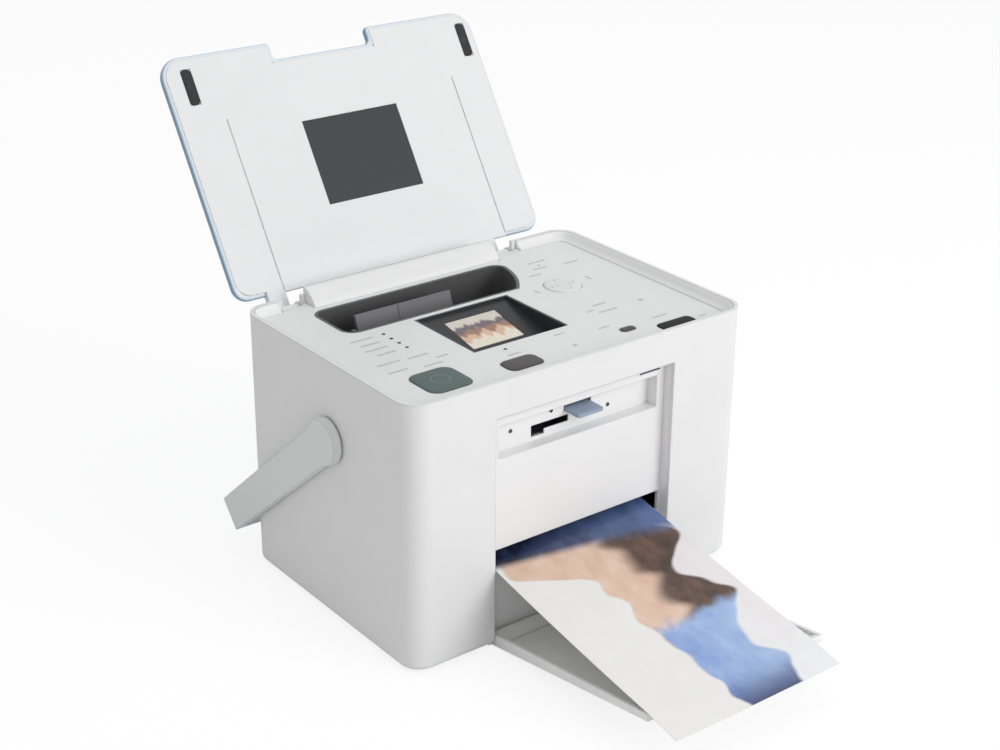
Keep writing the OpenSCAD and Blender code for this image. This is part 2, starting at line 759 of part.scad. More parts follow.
module belt() color("black") {
    difference() {
        hull() for (x = [-pulley_x, pulley_x]) rod_y(x, belt_y, belt_z, pulley_r + 1);
        hull() for (x = [-pulley_x, pulley_x]) rod_y(x, [belt_y[0] - 1, belt_y[1] + 1], belt_z, pulley_r);
    }
}

park_x = 64;
carriage_w = 40;
head_w = 24;

module carriage() color("dimgray") {
    x = [park_x - carriage_w / 2, park_x + carriage_w / 2];
    difference() {
        union() {
            block(x, [-36, -7.4], [55, 90]);
            block([x[0] + 2, x[1] - 2], [-8, shaft_y], [60.8, 71.2]);
            rod_x([x[0] + 2, x[1] - 2], shaft_y, shaft_z, 5.2);
            // fork that holds the lower run of the belt
            block([park_x - 6, park_x + 6], [belt_y[0] - 1, -35.5], [68.5, belt_z - pulley_r - 1 - run]);
        }
        block([x[0] + 1.6, x[1] - 1.6], [-34.4, -9], [62, 100]);
        block([park_x - head_w / 2 - 0.05, park_x + head_w / 2 + 0.05], [-30.05, -13.95], [50, 63]);
        rod_x([x[0], x[1]], shaft_y, shaft_z, shaft_r + run);
    }
}

// Print head with its nozzle plate
module print_head() color("goldenrod") {
    block([park_x - head_w / 2, park_x + head_w / 2], [-30, -14], [52, 62]);
    block([park_x - head_w / 2 - 2, park_x + head_w / 2 + 2], [-32, -12], [62, 74]);
    for (i = [0 : 3]) rod_z(park_x - 9 + 6 * i, -22, [73.9, 80], 1.6);
}

module capping_station() color("gray") {
    difference() {
        block([park_x - 14, park_x + 14], [-34, -10], [40, 51.7]);
        block([park_x - 12.6, park_x + 12.6], [-31, -13], [50, 60]);
    }
}

// ---- Cartridge bay and its door ----

bay_x = [54.6, 95.4];
bay_y = [38.1, rear_y - 5.6];
bay_z = [43.5, 94];

module cartridge_bay() color("gainsboro") {
    difference() {
        block(bay_x, bay_y, bay_z);
        block([bay_x[0] + 1.5, bay_x[1] - 1.5], [bay_y[0] + 1.5, bay_y[1] + 5],
            [bay_z[0] + 1.5, bay_z[1] - 1.5]);
    }
    for (x = [58, 78]) block([x, x + 6], [42, 60], [base_top, bay_z[0]]);
}

module ink_cartridge() color("black") {
    block([bay_x[0] + 2, bay_x[1] - 2], [bay_y[0] + 3, bay_y[1] - 2],
        [bay_z[0] + 1.5, bay_z[1] - 2.5]);
    block([72, 78], [bay_y[0] + 1.5, bay_y[0] + 4], [60, 66]);
    block([64, 86], [bay_y[1] - 2.1, bay_y[1]], [66, 70]);
}

module cartridge_door() color("whitesmoke") {
    x = [door_x[0] + 0.4, door_x[1] - 0.4];
    difference() {
        union() {
            block(x, [in_y, rear_y], [door_pin_z, door_z[1] - 0.4]);
            rod_x(x, door_pin_y, door_pin_z, door_knuckle_r);
        }
        rod_x([x[0] - 1, x[0] + 4], door_pin_y, door_pin_z, 0.9 + run);
        rod_x([x[1] - 4, x[1] + 1], door_pin_y, door_pin_z, 0.9 + run);
        // finger scoop
        block([70, 80], [rear_y - 0.8, rear_y + 1], [86, 91]);
    }
    block([72, 78], [in_y - 1.6, in_y + 0.1], [door_z[1] - 4, door_z[1] - 1]);
}

// ---- Output tray and print ----

tray_floor = 2;
tray_side = 1.8;

// Frame of the tray: origin on the hinge line, x to the right, y towards the rear,
// with the tray lying along -y
module tray_frame() {
    translate([0, tray_y, tray_z]) rotate([-tray_rise, 0, 0]) children();
}

module output_tray() color("whitesmoke") {
    under = tray_y - front_y;
    tray_frame() difference() {
        union() {
            block([-tray_w / 2, tray_w / 2], [-tray_l, 0], [-under, tray_floor - under]);
            // side walls, lower at the tip
            for (s = [-1, 1])
                side_profile([s * (tray_w - tray_side) / 2 - tray_side / 2,
                    s * (tray_w - tray_side) / 2 + tray_side / 2]) union() {
                        polygon([[-tray_l, -under], [0, -under], [0, 2.4], [-10, 2.4], [-tray_l, 0.1]]);
                        circle(recess_y - tray_y - 0.2);
                    }
            // tip bar and two raised ribs that carry the sheets
            block([-tray_w / 2, tray_w / 2], [-tray_l, 2.2 - tray_l], [-under, -0.2]);
            for (x = [-24, 24])
                block([x - 0.8, x + 0.8], [-tray_l, -12], [-under, tray_floor - under + 0.7]);
        }
        // finger notch in the tip
        translate([0, -tray_l - 6, -under - 1]) cylinder(h = 10, r = 12);
        rod_x([-recess_w, recess_w], 0, 0, tray_pin_r + run);
        // step in the floor beside the hinge
        block([-tray_w / 2 + 6, tray_w / 2 - 6], [-7, -6.2], [tray_floor - under - 0.4, 5]);
    }
}

module photo_print() color("cornflowerblue") {
    translate([paper_x, recess_y, slot_bottom + 5.5]) rotate([exit_slope, 0, 0])
        block([-print_w / 2, print_w / 2], [15.4 - print_l, 15.4], [0, 0.3]);
}

// ---- Lid ----

lid_gap = key_rise + 0.2;   // gap over the top panel when shut
lid_z = panel_z + lid_gap;
lid_skin = 1.8;     // thickness of the inner panel
window_x = [-28, 32];
window_t = [36.8, 83.3];
window_lap = 3;     // the pane reaches this far under the inner panel
seam_x = [-70, 73]; // seams beside the raised middle of the inner panel
pad_at = [13.6 - lid_w / 2, lid_w / 2 - 8.3];
pad_w = 6;
pad_t = [lid_l - 28.5, lid_l - 9.2];
arm_h = 4;          // thickness of the hinge arms
hinge_edge_t = 2;   // the hinge edge lies this far behind the measuring line
notch_x = [-31.5, 28.6];
notch_l = 9.5;

// Turns the lid from the shut place, in which it is drawn, to the open one
module opened() {
    translate([0, hinge_y, hinge_z]) rotate([-lid_turn, 0, 0]) translate([0, -hinge_y, -hinge_z])
        children();
}

// Outline of the lid, seen from above: large corners at the free edge
module lid_outline(inset) {
    w = lid_w - 2 * inset;
    y0 = lid_y[0] + inset;
    y1 = lid_y[1] - inset;
    r = 12 - inset;
    difference() {
        union() {
            translate([0, (y0 + y1) / 2]) square([w - 2 * r, y1 - y0], center = true);
            translate([-w / 2, y0 + r]) square([w, y1 - y0 - r - 8]);
            for (s = [-1, 1]) {
                translate([s * (w / 2 - r), y0 + r]) circle(r);
                translate([s * (w / 2 - 8), y1 - 8]) circle(8);
            }
        }
        translate([notch_x[0] - inset, y0 - 1])
            square([notch_x[1] - notch_x[0] + 2 * inset, notch_l + 1]);
    }
}

module lid_slab(inset, z) {
    translate([0, 0, lid_z + z[0]]) linear_extrude(z[1] - z[0]) lid_outline(inset);
}

// Span in y of a stretch measured from the hinge line towards the free edge
function along(t) = [lid_y[1] - hinge_edge_t - t[1], lid_y[1] - hinge_edge_t - t[0]];

module lid_cover() color("lightskyblue") {
    opened() difference() {
        union() {
            lid_slab(0, [1, lid_t - 1.6]);
            lid_slab(1.2, [1, lid_t]);
        }
        lid_slab(1.8, [0, lid_t - 1.8]);
        block([window_x[0] + 2, window_x[1] - 2], along([window_t[0] + 2, window_t[1] - 2]),
            [lid_z, lid_z + 20]);
        // gates in the rear edge for the inner panel's middle and its hinge arms
        block([seam_x[0] - fit, seam_x[1] + fit], [lid_y[1] - 3, lid_y[1] + 1],
            [lid_z, lid_z + lid_skin + fit]);
        for (arm = arm_at)
            block(arm, [lid_y[1] - 3, lid_y[1] + 1], [lid_z, lid_z + arm_h + fit]);
    }
}

// Arms of the inner panel that turn on the hinge pins
module hinge_arms() {
    for (arm = arm_at) {
        x = [arm[0] + 0.3, arm[1] - 0.3];
        rod_x(x, hinge_y, hinge_z, 4.2);
        block(x, [hinge_y - 3.5, hinge_y + 3.5], [hinge_z, lid_z + arm_h]);
        block(x, [lid_y[1] - 10, hinge_y + 3.5], [lid_z, lid_z + arm_h]);
    }
}

module lid_panel() color("white") {
    opened() difference() {
        union() {
            lid_slab(2, [0, lid_skin]);
            block(seam_x, [lid_y[1] - 10, lid_y[1]], [lid_z, lid_z + lid_skin]);
            for (x = [-84, -20, 20, 84], y = [lid_y[0] + 30, lid_y[1] - 24])
                rod_z(x, y, [lid_z + lid_skin - 0.1, lid_z + lid_t - 1.8], 2);
            hinge_arms();
        }
        block([window_x[0] - run, window_x[1] + run], along([window_t[0] - run, window_t[1] + run]),
            [lid_z - 1, lid_z + lid_skin + 1]);
        for (x = seam_x) block([x - 0.3, x + 0.3], along([-1, 92]), [lid_z - 1, lid_z + 0.5]);
        for (x = pad_at)
            block([x - pad_w / 2 - 0.1, x + pad_w / 2 + 0.1], along([pad_t[0] - 0.1, pad_t[1] + 0.1]),
                [lid_z - 1, lid_z + 0.6]);
        for (arm = arm_at) rod_x(arm, hinge_y, hinge_z, pin_r + run);
    }
}

module lid_window() color("dimgray") {
    opened() {
        block(window_x, along(window_t), [lid_z + 0.3, lid_z + lid_skin]);
        block([window_x[0] - window_lap, window_x[1] + window_lap],
            along([window_t[0] - window_lap, window_t[1] + window_lap]),
            [lid_z + lid_skin, lid_z + lid_skin + 1.2]);
    }
}

module lid_pads() color("black") {
    opened() for (x = pad_at)
        block([x - pad_w / 2, x + pad_w / 2], along(pad_t), [lid_z - 0.3, lid_z + 0.6]);
}

// Steel pins of the lid, the tray and the cartridge door, all held in the casing
module hinge_pins() color("silver") {
    for (arm = arm_at) rod_x([arm[0] - ear_t, arm[1] + ear_t], hinge_y, hinge_z, pin_r);
    both_sides() rod_x([tray_w / 2 - tray_side, recess_x + skin], tray_y, tray_z, tray_pin_r);
    rod_x([door_x[0] - 2.2, door_x[0] + 4], door_pin_y, door_pin_z, 0.9);
    rod_x([door_x[1] - 4, door_x[1] + 2.2], door_pin_y, door_pin_z, 0.9);
}

// ---- Handle ----

arm_t = 4.5;
arm_w = [23.4, 18];     // width at the pivot and at the bar
arm_x = side_x + 1;
grip_t = 5;

module handle() color("gainsboro") {
    translate([0, handle_y, handle_z]) rotate([-handle_hang, 0, 0]) {
        both_sides() difference() {
            side_profile([arm_x, arm_x + arm_t]) {
                circle(arm_w[0] / 2);
                polygon([[0, arm_w[0] / 2 - 1.7], [handle_l, arm_w[1] / 2], [handle_l, -arm_w[1] / 2],
                    [0, 1.7 - arm_w[0] / 2]]);
            }
            rod_x([arm_x - 1, arm_x + 2.5], 0, 0, handle_pin_r - 1 + run);
        }
        block([-arm_x - 1, arm_x + 1], [handle_l - grip_t, handle_l], [-arm_w[1] / 2, arm_w[1] / 2]);
    }
}

// Pivot pins: a collar that turns in the casing and a spigot in the arm
module handle_pins() color("gainsboro") {
    both_sides() {
        rod_x([in_x - 6, arm_x], handle_y, handle_z, handle_pin_r);
        rod_x([arm_x - 0.1, arm_x + 2.5], handle_y, handle_z, handle_pin_r - 1);
        rod_x([in_x - 7.5, in_x - 4], handle_y, handle_z, 6);
    }
}

casing();
base_plate();
rubber_feet();
casing_screws();
control_panel();
front_fascia();
card_panel();
memory_card();
ir_window();
lcd_frame();
lcd_screen();
light_pipes();
slot_liner();
hopper_plate();
edge_guide();
panel_board();
main_board();
card_reader();
usb_port();
power_inlet();
chassis();
guide_shaft();
carriage();
print_head();
carriage_motor();
belt();
drive_pulley();
idler_pulley();
feed_motor();
motor_pinion();
main_roller();
main_gear();
roller_bushes();
pinch_rollers();
pickup_roller();
pickup_gear();
pickup_idler();
exit_roller();
exit_gear();
exit_idler();
star_wheels();
platen();
capping_station();
cartridge_bay();
ink_cartridge();
cartridge_door();
output_tray();
photo_print();
lid_cover();
lid_panel();
lid_window();
lid_pads();
hinge_pins();
handle();
handle_pins();
print_button();
display_button();
power_button();
menu_button();
navigation_pad();
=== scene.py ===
"""A compact photo printer: the finish of every part, and the parts that are modelled as surfaces.

Shapes are worked out in millimetres: x runs to the printer's right, y to its rear, and z up from
the table that it stands on."""

import math

import bmesh
import bpy
import numpy as np
from mathutils import Matrix


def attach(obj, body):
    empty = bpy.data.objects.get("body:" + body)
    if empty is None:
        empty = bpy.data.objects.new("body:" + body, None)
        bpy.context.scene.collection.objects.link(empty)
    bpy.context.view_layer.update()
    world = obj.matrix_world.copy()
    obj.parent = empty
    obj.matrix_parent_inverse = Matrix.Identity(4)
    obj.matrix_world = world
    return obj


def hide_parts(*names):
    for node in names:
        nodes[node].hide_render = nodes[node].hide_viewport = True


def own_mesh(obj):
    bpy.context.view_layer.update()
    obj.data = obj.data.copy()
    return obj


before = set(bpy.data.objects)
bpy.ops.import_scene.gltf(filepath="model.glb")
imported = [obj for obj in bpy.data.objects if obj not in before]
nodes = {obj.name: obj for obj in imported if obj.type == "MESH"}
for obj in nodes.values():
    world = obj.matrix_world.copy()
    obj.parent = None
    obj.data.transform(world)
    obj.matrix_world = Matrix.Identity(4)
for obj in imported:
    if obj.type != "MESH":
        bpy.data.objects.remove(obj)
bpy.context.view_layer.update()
MM = 0.001

# ---- Casing ----
# One white ABS moulding with walls 2 mm thick: four sides, a rim round the top and the hump
# over the lid's hinge line. Fine spark-eroded grain, screwed on to the base plate.


class Wire:
    """A value in a material: sums, differences and products of wires add Math nodes."""

    def __init__(self, tree, socket=None):
        self.tree, self.socket = tree, socket

    def node(self, kind, inputs=(), output=0, **settings):
        """Adds a node: its settings first, then the value or wire of each socket."""
        made = self.tree.nodes.new("ShaderNode" + kind)
        for name, value in settings.items():
            setattr(made, name, value)
        for name, value in dict(inputs).items():
            if isinstance(value, Wire):
                self.tree.links.new(value.socket, made.inputs[name])
            else:
                made.inputs[name].default_value = value
        return Wire(self.tree, made.outputs[output])

    def math(self, operation, *values):
        """Adds a Math node that works on these values or wires."""
        return self.node("Math", enumerate(values), operation=operation)

    def __add__(self, other):
        return self.math("ADD", self, other)

    def __sub__(self, other):
        return self.math("SUBTRACT", self, other)

    def __rsub__(self, other):
        return self.math("SUBTRACT", other, self)

    def __mul__(self, other):
        return self.math("MULTIPLY", self, other)

    __radd__, __rmul__ = __add__, __mul__

    def step(self, low, high):
        """0 below low, 1 above high, with a soft rise between them."""
        return self.node("MapRange", {0: self, 1: low, 2: high}, interpolation_type="SMOOTHSTEP")

    def between(self, low, high):
        """Colour low where this value is 0 and colour high where it is 1. A Mix node takes its
        factor on socket 0, its two colours on sockets 6 and 7, and gives a colour on output 2."""
        ends = [end if isinstance(end, Wire) else (*end, 1) for end in (low, high)]
        return self.node("Mix", {0: self, 6: ends[0], 7: ends[1]}, output=2, data_type="RGBA")


def new_finish(name, **constants):
    """A material with these constants on its shader: returns it, a wire to build from, and feed,
    which links wires to the shader."""
    made = bpy.data.materials.new(name)
    made.use_nodes = True
    tree = made.node_tree
    shader = tree.nodes["Principled BSDF"]

    def socket(key):
        return shader.inputs[key.replace("_", " ").title().replace("Ior", "IOR")]

    for key, value in constants.items():
        socket(key).default_value = value

    def feed(**wires):
        for key, wire in wires.items():
            tree.links.new(wire.socket, socket(key))

    return made, Wire(tree), feed


def moulded(name, colour, rough=0.42, grain=0.5, relief=0.12, soft=0.5, paint=None, **more):
    """Moulded plastic. Colour and gloss drift slowly, grain (mm) is the texture's size and relief
    its depth, and soft (mm) rounds the edges, where the finish is polished and a little worn.
    Paint is a function from the body's colour to a printed or tinted one."""
    made, wire, feed = new_finish(name, **more)
    place = wire.node("TexCoord", output="Object")
    cloud = wire.node("TexNoise", {"Vector": place, "Scale": 38, "Detail": 3})
    fine = wire.node("TexNoise", {"Vector": place, "Scale": 1 / (grain * MM), "Detail": 2})
    handled = wire.node("TexNoise", {"Vector": place, "Scale": 9, "Detail": 4})
    rounded = wire.node("Bevel", {"Radius": soft * MM}, samples=4)
    flat = wire.node("NewGeometry", output="Normal")
    agreement = wire.node("VectorMath", {0: rounded, 1: flat}, output="Value",
                          operation="DOT_PRODUCT")
    at_edge = (1 - agreement).step(0.004, 0.12)
    dark = tuple(c * 0.965 for c in colour)
    light = tuple(min(1, c * 1.02) for c in colour)
    worn = tuple(c + (1 - c) * 0.10 for c in colour)
    body = cloud.between(dark, light)
    if paint:
        body = paint(body)
    feed(
        base_color=(at_edge * 0.25 * handled).between(body, worn),
        roughness=rough + (cloud - 0.5) * 0.16 + (handled - 0.5) * 0.12 - at_edge * 0.06,
        normal=wire.node("Bump", {"Height": fine, "Strength": relief, "Distance": 0.05 * MM,
                                  "Normal": rounded}),
    )
    return made


def dress(material, *names):
    """Gives CAD nodes their material."""
    for name in names:
        slots = nodes[name].data.materials
        slots.clear()
        slots.append(material)


CORNER_POINTS = 9


def outline(corners, radii, inset=0.0):
    """Points anticlockwise round a polygon with square corners, CORNER_POINTS of them to a corner.
    Each corner is an arc: its centre lies radius back along the side before it and radius on
    along the side after it. Inset moves all sides inwards: the arcs of outer corners shrink, but
    never to nothing, and those of inner corners grow."""
    corners = np.asarray(corners, float)
    after = np.roll(corners, -1, axis=0) - corners
    after /= np.linalg.norm(after, axis=1, keepdims=True)
    before = np.roll(after, 1, axis=0)
    to_left = np.array([[0, 1], [-1, 0]])
    bend = np.sign(np.sum(before @ to_left * after, axis=1))
    radius = np.broadcast_to(radii, len(corners)) - bend * inset
    radius = np.maximum(radius, 0.02)[:, None]
    centre = corners + inset * (before @ to_left + after @ to_left) + radius * (after - before)
    turn = np.linspace(0, math.pi / 2, CORNER_POINTS)[None, :, None]
    arcs = before[:, None] * np.sin(turn) - after[:, None] * np.cos(turn)
    return (centre[:, None] + radius[:, None] * arcs).reshape(-1, 2)


def rectangle(width, depth, middle=(0, 0)):
    """The corners of a rectangle, anticlockwise."""
    x, y = middle
    return [(x - width / 2, y - depth / 2), (x + width / 2, y - depth / 2),
            (x + width / 2, y + depth / 2), (x - width / 2, y + depth / 2)]


def at_height(ring, height):
    """A ring of (x, y) points lifted to a height, which may differ from point to point."""
    return np.column_stack((ring, np.broadcast_to(height, len(ring))))


def skin(name, shapes, material, joined=False):
    """A piece made of closed surfaces, each an array of rows of points. A row is a ring. Where
    joined is set the last row meets the first, and elsewhere both get a flat cap. Edges that turn
    by more than 38 degrees stay sharp."""
    points, faces, start = [], [], 0
    for rows in shapes:
        rows = np.asarray(rows, float)
        index = start + np.arange(rows.shape[0] * rows.shape[1]).reshape(rows.shape[:2])
        index = np.column_stack((index, index[:, 0]))
        if joined:
            index = np.vstack((index, index[0]))
        else:
            faces += [index[0, :-1].tolist(), index[-1, :-1].tolist()]
        quads = np.stack((index[:-1, :-1], index[:-1, 1:], index[1:, 1:], index[1:, :-1]), axis=-1)
        faces += quads.reshape(-1, 4).tolist()
        points.append(rows.reshape(-1, 3))
        start += len(points[-1])
    mesh = bpy.data.meshes.new(name)
    mesh.from_pydata((np.vstack(points) * MM).tolist(), [], faces)
    shape = bmesh.new()
    shape.from_mesh(mesh)
    bmesh.ops.recalc_face_normals(shape, faces=shape.faces)
    shape.to_mesh(mesh)
    shape.free()
    mesh.shade_smooth()
    mesh.set_sharp_from_angle(angle=math.radians(38))
    mesh.materials.append(material)
    piece = bpy.data.objects.new(name, mesh)
    bpy.context.scene.collection.objects.link(piece)
    return piece


casing_white = moulded("casing_white", (0.80, 0.80, 0.805), rough=0.46, grain=0.45, relief=0.2,
                       soft=1.1)
dress(casing_white, "casing", "base_plate")

# The top panel runs up to the rim in a hollow curve, which stops on both sides of the hump. Each
# point of its section is so far in from the rim, and at such a height.
RIM_WIDTH, RIM_DEPTH, RIM_CORNER = 202, 142, 9.5
HUMP_LEFT, HUMP_RIGHT = -83.5, 68
cove_section = [(5.7, 136.1), (5.5, 136.32), (4.2, 136.6), (3.1, 137.05), (2.1, 137.96),
                (1.4, 139.2), (0.8, 140.05), (0.05, 140.42), (0.05, 136.1)]
cove_lines = []
for inset, height in cove_section:
    ring = outline(rectangle(RIM_WIDTH, RIM_DEPTH), RIM_CORNER, inset)
    ring = np.roll(ring, CORNER_POINTS, axis=0)
    back = RIM_DEPTH / 2 - inset
    cove_lines.append(at_height(np.vstack(((HUMP_LEFT, back), ring, (HUMP_RIGHT, back))), height))
cove = skin("rim_cove", [np.swapaxes(cove_lines, 0, 1)], casing_white)
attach(cove, "casing")

# ---- Feet and screws ----
# Four round feet of black nitrile rubber, each held by a plug pressed into the base plate.
# Zinc-plated pan-head screws go up through the plate into the casing's bosses.


def rubber(name, colour):
    """Matt rubber with a powdery bloom and a coarse moulded skin."""
    made, wire, feed = new_finish(name, specular_ior_level=0.35)
    place = wire.node("TexCoord", output="Object")
    bloom = wire.node("TexNoise", {"Vector": place, "Scale": 160, "Detail": 5})
    pores = wire.node("TexNoise", {"Vector": place, "Scale": 1400, "Detail": 3})
    dusty = tuple(c * 1.9 + 0.012 for c in colour)
    feed(
        base_color=bloom.step(0.45, 0.8).between(colour, dusty),
        roughness=0.72 + (bloom - 0.5) * 0.3,
        normal=wire.node("Bump", {"Height": pores, "Strength": 0.35, "Distance": 0.05 * MM}),
    )
    return made


def metal(name, colour, rough):
    """Plain metal, drawn or ground: fine scratches stretched along x and y, and a dull film."""
    made, wire, feed = new_finish(name, metallic=1.0)
    place = wire.node("TexCoord", output="Object")
    drawn = wire.node("Mapping", {"Vector": place, "Scale": (1, 1, 40)})
    lines = wire.node("TexNoise", {"Vector": drawn, "Scale": 400, "Detail": 4})
    film = wire.node("TexNoise", {"Vector": place, "Scale": 60, "Detail": 3})
    rounded = wire.node("Bevel", {"Radius": 0.25 * MM}, samples=4)
    feed(
        base_color=film.between(tuple(c * 0.85 for c in colour), colour),
        roughness=rough + (lines - 0.5) * 0.25 + (film - 0.5) * 0.15,
        normal=wire.node("Bump", {"Height": lines, "Strength": 0.2, "Distance": 0.02 * MM,
                                  "Normal": rounded}),
    )
    return made


black_rubber = rubber("black_rubber", (0.022, 0.022, 0.024))
zinc = metal("zinc_plate", (0.62, 0.63, 0.64), rough=0.34)
dress(black_rubber, "rubber_feet")
dress(zinc, "casing_screws")

# ---- Front recess and card bay ----
# White mouldings set in behind the casing's front opening. The card bay's plate is set back
# again, with a slot for each kind of card. A clear pipe carries each small light through it, and
# a smoked window over the bay lets infrared through.

recess_white = moulded("recess_white", (0.84, 0.838, 0.84), rough=0.4, grain=0.4, relief=0.14)
dress(recess_white, "front_fascia", "card_panel")
smoked = moulded("smoked_window", (0.035, 0.035, 0.04), rough=0.12, relief=0.0, coat_weight=0.6)
dress(smoked, "ir_window")
pipe_clear = moulded("light_pipe", (0.045, 0.052, 0.05), rough=0.2, relief=0.0, coat_weight=0.2)
dress(pipe_clear, "light_pipes")

# ---- Output tray ----
# A white ABS tray with low side walls, moulded in one piece. It turns on a steel pin through a
# knuckle as long as its floor, which runs down into the floor in a hollow.

TRAY_HINGE_Y, TRAY_HINGE_Z = -69.5, 3.5
TRAY_RISE = math.radians(-9)
KNUCKLE_RADIUS = 2.55
half_turn = np.radians(np.linspace(-90, 90, 19))
knuckle = np.vstack((KNUCKLE_RADIUS * np.column_stack((np.cos(half_turn), np.sin(half_turn))),
                     [(-1.5, 2.1), (-2.8, 0.9), (-4.0, -0.3), (-5.0, -1.1), (-5.8, -1.45),
                      (-5.8, -2.0), (-3, -3)]))
knuckle_stations = [(-52.5, 0.85), (-52.2, 0.97), (-51.6, 1),
                    (51.6, 1), (52.2, 0.97), (52.5, 0.85)]


def knuckle_at(x, share):
    """The knuckle's section at a place along it, shrunk to a share of its size about the hinge
    line, which runs along x, and turned with the tray, which rises 9 degrees to its tip."""
    y, z = (knuckle * share).T
    cos, sin = math.cos(TRAY_RISE), math.sin(TRAY_RISE)
    return np.column_stack((np.full(len(y), x), TRAY_HINGE_Y + y * cos - z * sin,
                            TRAY_HINGE_Z + y * sin + z * cos))


tray_white = moulded("tray_white", (0.87, 0.87, 0.865), rough=0.4, grain=0.4, relief=0.14,
                     soft=0.7)
dress(tray_white, "output_tray")
tray_knuckle = skin("tray_knuckle", [[knuckle_at(x, share) for x, share in knuckle_stations]],
                    tray_white)
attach(tray_knuckle, "tray")

# ---- Memory card ----
# A flash card left in its slot: two shells of blue polycarbonate, welded round their edge, with
# a ridge for the fingernail near the outer end.


def layered(corners, radius, section, base=0.0):
    """Rings of a slab with worked edges: its round-cornered outline is moved in by each inset of
    the section, and lifted to the height that goes with it over a base."""
    return [at_height(outline(corners, radius, inset), base + height) for inset, height in section]


CARD_X, CARD_Y, RIDGE_Y = 4.3, -58.5, -68.4
card_section = [(0.3, 107), (0.05, 107.15), (0, 107.4), (0, 107.8), (0.12, 107.9), (0, 108.0),
                (0, 108.4), (0.05, 108.65), (0.3, 108.8)]
ridge_section = [(0, 108.7), (0, 108.9), (0.3, 109.05)]
card_blue = moulded("card_blue", (0.30, 0.38, 0.49), rough=0.45, relief=0.1)
flash_card = skin("flash_card", [
    layered(rectangle(16, 24, (CARD_X, CARD_Y)), 1.4, card_section),
    layered(rectangle(10, 1.6, (CARD_X, RIDGE_Y)), 0.7, ridge_section),
], card_blue)
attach(flash_card, "casing")
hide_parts("memory_card")

# ---- Top panel ----
# A semi-gloss white ABS plate dropped on to the casing's ledge. It carries the keys, the lights
# and the sunk frame of the screen, and small marks are pad-printed on it in grey.

PANEL_TOP = 136.2
panel_white = moulded("panel_white", (0.76, 0.77, 0.765), rough=0.36, grain=0.3, relief=0.05)
dress(panel_white, "control_panel")

# The marks beside the lights and round the keys: middle x and y, length, width, turn in degrees.
panel_marks = np.array([
    [-71.5, 13.4, 13, 1.7, 0], [-70.8, 6.5, 11, 1.7, 0], [-71.6, -0.2, 13, 1.7, 0],
    [-70.4, -7.0, 11, 1.7, 0], [-76.5, -17.5, 13, 1.7, 0], [-60.5, -18.5, 12, 1.7, 0],
    [-51, -25, 7, 1.7, 0], [-78, -27.5, 11, 1.7, 0], [-60, -30.5, 11, 1.7, 0],
    [-22, -43.5, 8, 1.6, 0], [59.2, 38.6, 9, 1.6, 0], [63.1, 47.0, 12, 1.6, 0],
    [61.4, 42.6, 2, 2, 0], [50.5, 31.9, 8, 1.6, 0], [78.5, 36.2, 10, 1.6, 0],
    [51.4, -19.2, 9, 1.6, 0], [49.8, -28, 12, 1.6, 0], [41.6, -23.7, 5, 1.4, 0],
    [33.7, -43.8, 7, 1.4, 0], [7.9, -52.6, 2.6, 2.6, 0], [10.3, -37.5, 7, 1.4, 0],
    [36.5, 12.5, 5, 1.4, 90], [71, 12.5, 5, 1.4, 90], [72.5, -27, 3.2, 3.2, 0],
    [66, -49, 10, 1.4, 0], [84, -61, 4, 1.4, 0],
])


def printed(marks, base, top):
    """Flat marks with round ends, standing from base to top: each is the outline of a length that
    a circle as wide as the mark runs along, turned about the mark's middle. It has 16 points."""
    x, y, length, width, turn = marks.T[:, :, None]
    angle = (np.arange(16) + 0.5) * 2 * math.pi / 16
    along = np.sign(np.cos(angle)) * (length - width) / 2 + np.cos(angle) * width / 2
    across = np.sin(angle) * width / 2
    cos, sin = np.cos(np.radians(turn)), np.sin(np.radians(turn))
    ring = np.stack((x + along * cos - across * sin, y + along * sin + across * cos), axis=-1)
    return np.stack([np.dstack((ring, np.full(ring.shape[:2], z))) for z in (base, top)], axis=1)


mark_ink = moulded("mark_ink", (0.53, 0.54, 0.55), rough=0.5, relief=0.0, soft=0.05)
marks = skin("panel_marks", printed(panel_marks, PANEL_TOP - 0.1, PANEL_TOP + 0.05), mark_ink)
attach(marks, "casing")

# ---- Keys and pad ----
# Caps of grey-green, dark grey and black ABS, and a white four-way pad with a groove round its
# middle. Each stands in its own hole of the panel, with a rolled edge and a low crown, and its
# stem runs down to its switch, out of sight.

key_sides = [(0.1, -3), (0.1, 0.14), (0.2, 0.36), (0.5, 0.52), (1.0, 0.6)]
key_crown = [(0.8, 0.7), (0.6, 0.77), (0.35, 0.82), (0.03, 0.84)]
pad_crown = [(0.86, 0.74), (0.62, 0.8), (0.46, 0.77), (0.44, 0.5), (0.40, 0.5), (0.38, 0.72),
             (0.2, 0.8), (0.03, 0.82)]


def key_cap(name, middle, size, radius, material, crown=key_crown):
    """Rings up the rounded side of the cap, then copies of the top one shrunk to a share of its
    size, each at its height over the panel."""
    rows = layered(rectangle(*size, middle), radius, key_sides, base=PANEL_TOP)
    top = rows[-1][:, :2] - middle
    rows += [at_height(middle + top * share, PANEL_TOP + height) for share, height in crown]
    cap = skin(name + "_cap", [rows], material)
    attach(cap, name)
    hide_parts(name)
    return cap


def ringed(middle, radius, width, ink):
    """Paints a ring round a middle: the distance from the middle is held within its width."""
    def paint(body):
        place = body.node("TexCoord", output="Object")
        flat = body.node("VectorMath", {0: place, 1: (1, 1, 0)}, operation="MULTIPLY")
        centre = (*np.multiply(middle, MM), 0)
        away = body.node("VectorMath", {0: flat, 1: centre}, output="Value", operation="DISTANCE")
        off = away.math("ABSOLUTE", away - radius * MM)
        return (1 - off.step(width * MM * 0.4, width * MM * 0.6)).between(body, ink)
    return paint


